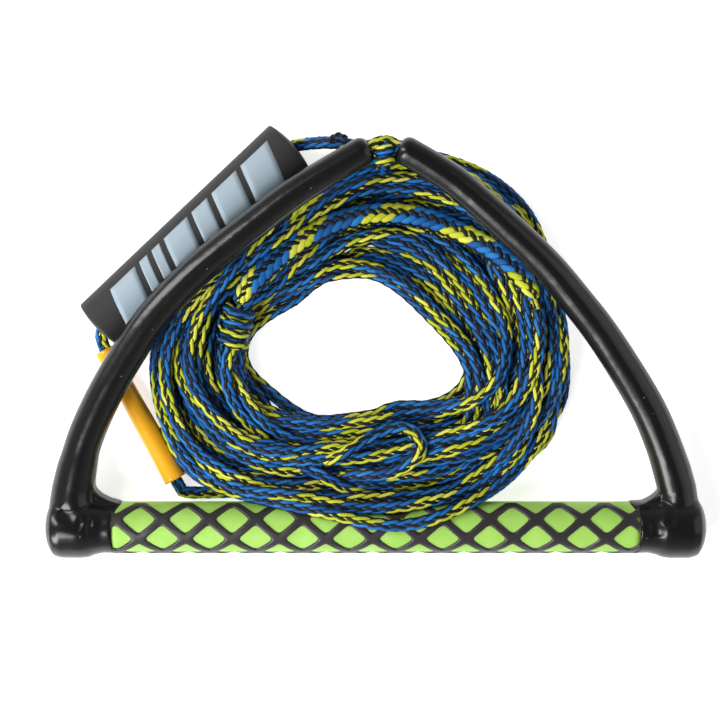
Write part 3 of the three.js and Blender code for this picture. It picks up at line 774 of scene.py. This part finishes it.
splice_path = smooth_curve(to_frame(HITCH_SPLICE), 0.0024)
throat = ride(
    braid("hitch_throat", splice_path, width=0.0078, height=0.0078, pitch=0.050, phase=0.9,
          flat_to=(1, 0, 0)),
    "handle", "rope", "hitch_splice")


# ---- Shapes swept along a path ----

def swept(name, path, profile, material, sides=40, squash=1.0):
    """A closed profile of (distance, radius) turned round a path."""
    rings = turned(path, profile, sides, squash)
    faces = tube_faces(len(rings) + 1, sides) % (len(rings) * sides)
    return add_mesh(name, rings, faces, [material])


def straight(centre, heading, length):
    """Points about 2 mm apart on a straight run in the lay, from its start to its end."""
    way = np.array([math.cos(heading), math.sin(heading), 0])
    reach = np.linspace(-length / 2, length / 2, int(length / 0.002))[:, None]
    return to_frame(np.array(centre) + way * reach)


def rounded_end(distance, radius, rounding, sign, steps=5):
    """Profile points of a rounded rim at one end, from the side to the end face."""
    return [(distance - sign * rounding * (1 - math.sin(t)), radius - rounding * (1 - math.cos(t)))
            for t in np.linspace(0, np.pi / 2, steps)]


# ---- Arms and corner boots, one dipped skin on each side ----

SKIN_VOXEL = 0.0009
SKIN_SMOOTHING = 7
ARM_BORE = 0.00385
ARM_BORE_DEPTH = 0.014
ARM_TIP_ROUND = 0.0052
TAPER_START = 0.02  # the even taper is counted from here, inside the leg's thicker stretch
FOOT = [(0.1735, -0.0060), (0.1738, 0.0050)]  # how each arm goes on into its drum
# The drum over the end of the bar, as (x, radius) from the collar to the outer face.
DRUM = [
    (0.1497, 0.0001), (0.1497, 0.0153), (0.1565, 0.0151), (0.1612, 0.0162), (0.1645, 0.0176),
    (0.1694, 0.0182), (0.1800, 0.0181), (0.1842, 0.0170), (0.1869, 0.0132), (0.1886, 0.0085),
    (0.1893, 0.0040), (0.1894, 0.0001),
]
COLLAR_LIP = 0.0045  # how far the collar runs over the grip on the arms' side
COLLAR_LIP_END, COLLAR_LIP_FADE = 0.158, 0.0068
# Leg radii from inside the drum up to where the arm's own taper begins, as (distance, radius).
LEG_LEFT = [
    (0, 0.0001), (0, 0.0135), (0.006, 0.0144), (0.014, 0.0141), (0.021, 0.0131), (0.029, 0.0122),
    (0.040, 0.0115),
]
LEG_RIGHT = [
    (0, 0.0001), (0, 0.0130), (0.006, 0.0136), (0.013, 0.0128), (0.019, 0.0114), (0.029, 0.0110),
    (0.040, 0.0109),
]
LEG_END = 0.052
# The web that fills the corner between drum and leg, in the handle's plane.
WEB_HALF_THICKNESS = 0.0052
WEB_LEFT = [
    (0.176, 0.000), (0.176, 0.030), (0.1618, 0.029), (0.1605, 0.0222), (0.1575, 0.0190), (0.1520, 0.0162),
    (0.1468, 0.0148), (0.1475, 0.010), (0.153, 0.000),
]
WEB_RIGHT = [
    (0.176, 0.000), (0.176, 0.030), (0.1630, 0.028), (0.1622, 0.0212), (0.1583, 0.0176), (0.1540, 0.0152),
    (0.1500, 0.0144), (0.1500, 0.010), (0.153, 0.000),
]
# Folds in the dipped skin, as start and end in the handle's plane, depth and width.
FOLDS_LEFT = [
    ((-0.1790, 0.0130), (-0.1660, 0.0035), 0.0010, 0.0036),
    ((-0.1690, 0.0060), (-0.1600, 0.0050), 0.0008, 0.0032),
]
FOLDS_RIGHT = [
    ((0.1690, 0.0150), (0.1655, 0.0040), 0.0010, 0.0032),
    ((0.1580, 0.0070), (0.1600, -0.0020), 0.0007, 0.0028),
]
FOLDS_ABOVE = 0.004  # only the skin's upper side is pressed
FLOOR_GAP = 0.0002


def capped(rings):
    """Vertices and triangles of a tube of rings, closed at both ends."""
    count, sides = rings.shape[:2]
    quads = tube_faces(count, sides)
    last = (count - 1) * sides
    fan = np.arange(1, sides - 1)
    faces = np.concatenate([
        quads[:, [0, 1, 2]], quads[:, [0, 2, 3]], np.stack([0 * fan, fan, fan + 1], axis=1),
        np.stack([0 * fan, fan + 1, fan], axis=1) + last])
    return rings.reshape(-1, 3), faces


def drum_part(side):
    """The drum on the bar's axis, its collar drawn out over the grip on the arms' side."""
    angle = circle(48)
    x, radius = np.array(DRUM).T[..., None]
    lip = COLLAR_LIP * np.maximum(np.cos(angle), 0)**4
    fade = np.clip((COLLAR_LIP_END - x) / COLLAR_LIP_FADE, 0, 1)
    rings = np.stack([side * (x - fade * lip), radius * np.cos(angle), radius * np.sin(angle)], axis=2)
    vertices, faces = capped(rings)
    return vertices, faces[:, ::-1] if side > 0 else faces


def slab_part(outline, side):
    """A flat part of an outline in the handle's plane."""
    count = len(outline)
    flat = np.array(outline) * (side, 1)
    vertices = np.concatenate([
        np.column_stack([flat, np.full(count, h)]) for h in (-WEB_HALF_THICKNESS, WEB_HALF_THICKNESS)])
    corner = np.arange(count)
    following = (corner + 1) % count
    fan = np.arange(1, count - 1)
    faces = np.concatenate([
        np.stack([corner, following, following + count], axis=1),
        np.stack([corner, following + count, corner + count], axis=1),
        np.stack([0 * fan, fan + 1, fan], axis=1), np.stack([0 * fan, fan, fan + 1], axis=1) + count])
    return vertices, faces if side > 0 else faces[:, ::-1]


def skinned(name, parts):
    """One smooth vinyl skin over several overlapping closed parts."""
    rough = add_mesh(f"{name}_rough", *joined(parts), [])
    remesh = rough.modifiers.new("skin", "REMESH")
    remesh.mode = "VOXEL"
    remesh.voxel_size = SKIN_VOXEL
    smooth = rough.modifiers.new("smooth", "SMOOTH")
    smooth.factor = 0.5
    smooth.iterations = SKIN_SMOOTHING
    shaped = rough.evaluated_get(bpy.context.evaluated_depsgraph_get())
    mesh = bpy.data.meshes.new_from_object(shaped)
    bpy.data.objects.remove(rough)
    mesh.name = name
    return add_object(name, mesh, [vinyl])


def press_folds(points, folds):
    """Presses shallow folds into the upper side of a skin in the handle's own frame."""
    for start, end, depth, width in folds:
        start, end = np.array(start), np.array(end)
        way = end - start
        part = np.clip(((points[:, :2] - start) @ way) / (way @ way), 0, 1)
        apart = np.linalg.norm(points[:, :2] - start - part[:, None] * way, axis=1)
        fade = 1 - np.abs(2 * part - 1)**6
        points[:, 2] -= depth * np.exp(-(apart / width)**2) * (points[:, 2] > FOLDS_ABOVE) * fade
    return points


def dipped_skin(label, side, arm_points, leg, web, folds):
    """The arm and corner boot of one side."""
    middle = np.array([(side * x, y) for x, y in FOOT] + list(arm_points))
    path = smooth_curve(np.column_stack([middle, np.zeros(len(middle))]), 0.003)
    length = run_along(path)[-1]
    body = np.linspace(LEG_END, length - ARM_TIP_ROUND, 70)
    taper = (body - TAPER_START) / (length - TAPER_START)
    radii = ARM_FOOT_RADIUS + (ARM_TIP_RADIUS - ARM_FOOT_RADIUS) * taper
    profile = [*leg, *zip(body, radii), *rounded_end(length, ARM_TIP_RADIUS, ARM_TIP_ROUND, 1, 8)[1:]]
    bore_end = length - ARM_BORE_DEPTH
    profile += [(length - 0.0006, ARM_BORE), (bore_end, ARM_BORE), (bore_end, 0.0001)]
    skin = skinned(f"dipped_skin_{label}", [
        capped(turned(path, profile, sides=40)), drum_part(side), slab_part(web, side)])
    count = len(skin.data.vertices)
    points = np.empty(count * 3, np.float32)
    skin.data.vertices.foreach_get("co", points)
    points = press_folds(points.reshape(-1, 3).astype(float), folds)
    lay = tilted(points)
    lay[:, 2] = np.maximum(lay[:, 2], FLOOR_GAP)
    skin.data.vertices.foreach_set("co", to_frame(lay).astype(np.float32).ravel())
    skin.data.update()
    return skin


ride(dipped_skin("left", -1, ARM_LEFT, LEG_LEFT, WEB_LEFT, FOLDS_LEFT), "handle", "vinyl",
     "arm_sleeve_left", "corner_boot_left")
ride(dipped_skin("right", 1, ARM_RIGHT, LEG_RIGHT, WEB_RIGHT, FOLDS_RIGHT), "handle", "vinyl",
     "arm_sleeve_right", "corner_boot_right")

# ---- Grip ----

grip_path = to_frame(np.array([(x, 0, BAR_HEIGHT) for x in np.linspace(-GRIP_HALF, GRIP_HALF, 151)]))
grip_profile = [(d, GRIP_RADIUS) for d in np.linspace(0, 2 * GRIP_HALF, 100)]
grip_profile += [(2 * GRIP_HALF, GRIP_INNER_RADIUS), (0, GRIP_INNER_RADIUS)]
ride(swept("grip_foam_sleeve", grip_path, grip_profile, grip_foam, sides=72),
     "handle", "grip_foam", "grip_sleeve")


SEAM_ROW = 2  # the row of diamonds left out where the net's two edges nearly meet
NET_POINTS = 24  # round each diamond
# Rings from the ribs' middle lines in to the diamond's hole, and how high the rib is there.
NET_RINGS = [1.0, 0.72, 0.5, 0.34, 0.24, 0.2]
NET_HEIGHTS = [1.0, 1.0, 0.95, 0.70, 0.20, -0.25]
NET_CORNERS = 7  # higher for a sharper corner in the hole


def grip_net():
    """The raised net: a ring of rib round each diamond, shared along the ribs' middle lines.

    The row of diamonds along the seam is left out, so its neighbours keep only the sides that
    face away from it.
    """
    edge = np.arange(NET_POINTS) / NET_POINTS * 4
    way, part = edge.astype(int), edge % 1
    square = np.stack([
        np.choose(way, [part, 1 + 0 * part, 1 - part, 0 * part]),
        np.choose(way, [0 * part, part, 1 + 0 * part, 1 - part])], axis=1) - 0.5
    hole_half = 0.5 - RIB_HALF_WIDTH
    reach = np.abs(square).max(axis=1)
    rounded = (np.abs(square)**NET_CORNERS).sum(axis=1)**(1 / NET_CORNERS)
    hole = square / rounded[:, None] * hole_half
    outer = square / reach[:, None] * 0.5
    scale = (np.array(NET_RINGS) - NET_RINGS[-1]) / (1 - NET_RINGS[-1])
    template = hole[None] + (outer - hole)[None] * scale[:, None, None]
    radii = GRIP_RADIUS + (RIB_RADIUS - GRIP_RADIUS) * np.array(NET_HEIGHTS)
    ring_faces = tube_faces(len(NET_RINGS), NET_POINTS).reshape(-1, NET_POINTS, 4)
    parts = []
    advance = RIB_PITCH / 2 / RIBS_PER_HAND
    last_row = int((GRIP_HALF + abs(RIB_CROSSING_X)) / advance) + 2
    for u in range(RIBS_PER_HAND):
        for v in range(u - last_row, u + last_row):
            cell = template + np.array([u + 0.5, v + 0.5])
            x = RIB_CROSSING_X + (cell[..., 1] - cell[..., 0]) * advance
            if x.min() > GRIP_HALF or x.max() < -GRIP_HALF:
                continue
            x = np.clip(x, -GRIP_HALF, GRIP_HALF)
            angle = RIB_CROSSING_ANGLE + (cell[..., 0] + cell[..., 1]) * np.pi / RIBS_PER_HAND - TILT
            y = radii[:, None] * np.sin(angle)
            z = BAR_HEIGHT + radii[:, None] * np.cos(angle)
            row = (u + v + 1 - SEAM_ROW) % (2 * RIBS_PER_HAND)
            kept = {0: way < 0, 1: (way == 1) | (way == 2), 2 * RIBS_PER_HAND - 1: (way == 0) | (way == 3)}
            kept = kept.get(row, way >= 0)
            parts.append((np.stack([x, y, z], axis=-1).reshape(-1, 3), ring_faces[:, kept].reshape(-1, 4)))
    vertices, faces = joined(parts)
    net = add_mesh("grip_net", to_frame(vertices), faces, [lattice_rubber])
    weld = net.modifiers.new("weld", "WELD")
    weld.merge_threshold = 0.00002
    return net


ride(grip_net(), "handle", "lattice_rubber", "grip_lattice")

# ---- Float ----

FLOAT_CROWN = 0.0024
FLOAT_RIM = 0.0009
FLOAT_MARGIN = 0.003  # from the ends to the first ring of the side and of the bore
float_path = straight(FLOAT_CENTRE, FLOAT_HEADING, FLOAT_LENGTH + 2 * FLOAT_CROWN)
low_end, high_end = FLOAT_CROWN, FLOAT_CROWN + FLOAT_LENGTH
side_start, side_end = low_end + FLOAT_MARGIN, high_end - FLOAT_MARGIN
crown = [
    (FLOAT_CROWN * (1 - (r / FLOAT_RADIUS)**2), r)
    for r in np.linspace(FLOAT_BORE, FLOAT_RADIUS - FLOAT_RIM, 8)]
float_profile = [(low_end - d, r) for d, r in crown]
float_profile += rounded_end(low_end, FLOAT_RADIUS, FLOAT_RIM, -1)[::-1][1:]
float_profile += [(d, FLOAT_RADIUS) for d in np.linspace(side_start, side_end, 60)]
float_profile += rounded_end(high_end, FLOAT_RADIUS, FLOAT_RIM, 1)[:-1]
float_profile += [(high_end + d, r) for d, r in crown[::-1]]
float_profile += [(d, FLOAT_BORE) for d in np.linspace(side_end, side_start, 8)]
foam_float = ride(
    swept("float_body", float_path, float_profile, float_foam, sides=96),
    "float", "float_foam", "foam_float")

PRINT_WIDTHS = (0.019, 0.006, 0.006, 0.018, 0.012, 0.019, 0.021)
PRINT_START, PRINT_GAP = 0.0165, 0.0036
PRINT_ANGLES = math.radians(-72), math.radians(33)
PRINT_SLANT = 0.0055
INK_TOP, INK_FOOT = 0.00014, -0.0001  # heights over the foam


def print_bar(name, start, width):
    """A thin slanted patch of ink on the float."""
    part, turn = np.meshgrid(np.linspace(0, 1, 7), np.linspace(*PRINT_ANGLES, 21), indexing="ij")
    distance = start + part * width + PRINT_SLANT * turn
    way = np.array([math.cos(FLOAT_HEADING), math.sin(FLOAT_HEADING), 0])
    side = np.array([-way[1], way[0], 0])
    outward = np.sin(turn)[..., None] * side + np.cos(turn)[..., None] * np.array([0, 0, 1])
    middle = np.array(FLOAT_CENTRE) + (distance[..., None] - FLOAT_LENGTH / 2) * way
    vertices = np.concatenate([
        (middle + (FLOAT_RADIUS + rise) * outward).reshape(-1, 3) for rise in (INK_TOP, INK_FOOT)])
    rows, columns = part.shape
    count = rows * columns
    grid = (np.arange(rows - 1)[:, None] * columns + np.arange(columns - 1)[None, :]).ravel()
    top = np.stack([grid, grid + columns, grid + columns + 1, grid + 1], axis=1)
    rim = np.concatenate([
        np.arange(columns), np.arange(1, rows) * columns + columns - 1,
        (rows - 1) * columns + np.arange(columns - 1)[::-1], np.arange(1, rows - 1)[::-1] * columns])
    following = np.roll(rim, -1)
    walls = np.stack([rim, following, following + count, rim + count], axis=1)
    faces = np.concatenate([top, top[:, ::-1] + count, walls])
    return add_mesh(name, to_frame(vertices), faces, [print_ink])


for bar, width in enumerate(PRINT_WIDTHS):
    start = PRINT_START + sum(PRINT_WIDTHS[:bar]) + bar * PRINT_GAP
    ride(print_bar(f"float_print_{bar}", start, width), "float", "float_foam")

# ---- Sleeve ----

SLEEVE_WALL = 0.0009
SLEEVE_FLARE = 0.0009  # the cut end nearer the bar is pressed a little wider
SLEEVE_WAVE, SLEEVE_WAVE_RATE = 0.00008, 160  # the soft tube is a little uneven
SLEEVE_SQUASH = 0.9

sleeve_path = straight(SLEEVE_CENTRE, SLEEVE_HEADING, SLEEVE_LENGTH)
sleeve_profile = [
    (d, SLEEVE_RADIUS + SLEEVE_FLARE * (d / SLEEVE_LENGTH)**2 + SLEEVE_WAVE * math.sin(d * SLEEVE_WAVE_RATE))
    for d in np.linspace(0, SLEEVE_LENGTH, 50)]
sleeve_profile += [(d, SLEEVE_RADIUS - SLEEVE_WALL) for d in np.linspace(SLEEVE_LENGTH, 0, 12)]
line_sleeve = ride(
    swept("vinyl_sleeve", sleeve_path, sleeve_profile, amber, squash=SLEEVE_SQUASH),
    "sleeve", "amber_tube", "line_sleeve")

# ---- Bridle rope, tail and hidden pieces ----

bridle_points = np.concatenate([
    smooth_curve(tilted(ARM_LEFT), 0.01), tilted([BRIDLE_TOP]), smooth_curve(tilted(ARM_RIGHT), 0.01)[::-1]])
ride(braid("bridle_braid", smooth_curve(to_frame(bridle_points), STRAND_STEP), width=0.0065, height=0.0065),
     "handle", "rope", "bridle_rope")

TAIL_YARN_RADIUS = 0.0008
TAIL_PITCH = 0.0075


def twisted_pair(name, points, radius, pitch, material):
    """Two thin yarns twisted round each other."""
    path = smooth_curve(to_frame(points), 0.0006)
    side, up = side_and_over(tangents(path))
    parts = []
    for start in (0, np.pi):
        angle = (2 * np.pi * run_along(path) / pitch + start)[:, None]
        centre = path + radius * (side * np.cos(angle) + up * np.sin(angle))
        parts.append(closed_tube(rings_round(centre, side, up, 1.05 * radius, 1.05 * radius, 8), OCTAGON_CAP))
    return add_mesh(name, *joined(parts), [material])


tail_yarn = strand_material("tail_yarn", (0.02, 0.02, 0.022))
splice_tail = ride(
    twisted_pair("splice_tail_yarn", SPLICE_TAIL, TAIL_YARN_RADIUS, TAIL_PITCH, tail_yarn),
    "handle", "dark_rope", "splice_tail")

for node, material in (
        ("bar_tube", aluminium), ("end_plug_left", plug_plastic), ("end_plug_right", plug_plastic),
        ("stopper_knot_left", BLUE_TONES[1]), ("stopper_knot_right", BLUE_TONES[1])):
    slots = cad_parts[node].data.materials
    slots.clear()
    slots.append(material)

# ---- Stage ----

FLOOR_HALF = 40
floor_material = plain_material(
    "floor", (0.8, 0.8, 0.8), roughness=0.9, Emission_Color=(1, 1, 1, 1), Emission_Strength=0.7)
floor_corners = np.array([(-1, -1, 0), (1, -1, 0), (1, 1, 0), (-1, 1, 0)]) * FLOOR_HALF - (0, 0, FLOOR_GAP)
floor = add_mesh("floor", floor_corners, [[0, 1, 2, 3]], [floor_material])


def area_light(name, place, size, power):
    data = bpy.data.lights.new(name, "AREA")
    data.shape = "RECTANGLE"
    data.size, data.size_y = size
    data.energy = power
    lamp = bpy.data.objects.new(name, data)
    lamp.location = place
    aim = Vector((0, 0, 0)) - Vector(place)
    lamp.rotation_mode = "QUATERNION"
    lamp.rotation_quaternion = aim.to_track_quat("-Z", "Y")
    bpy.context.scene.collection.objects.link(lamp)


area_light("left_softbox", (-0.95, 0.45, 0.95), (0.30, 1.0), 12)
area_light("low_left_softbox", (-0.70, -0.75, 0.85), (0.35, 0.9), 17)
area_light("right_panel", (1.1, 0.1, 0.8), (1.2, 1.2), 4)

# The studio is dark straight above and bright towards its walls.
world = bpy.data.worlds.new("studio")
world.use_nodes = True
tree = world.node_tree
direction = tree.nodes.new("ShaderNodeTexCoord")
parts = tree.nodes.new("ShaderNodeSeparateXYZ")
ramp = tree.nodes.new("ShaderNodeValToRGB")
ramp.color_ramp.elements[0].position = 0.0
ramp.color_ramp.elements[0].color = (0.70, 0.70, 0.70, 1)
ramp.color_ramp.elements[1].position = 0.9
ramp.color_ramp.elements[1].color = (0.06, 0.06, 0.06, 1)
tree.links.new(direction.outputs["Generated"], parts.inputs["Vector"])
tree.links.new(parts.outputs["Z"], ramp.inputs["Fac"])
tree.links.new(ramp.outputs["Color"], tree.nodes["Background"].inputs["Color"])
tree.nodes["Background"].inputs["Strength"].default_value = 1.0
bpy.context.scene.world = world
bpy.context.scene.view_settings.view_transform = "Standard"
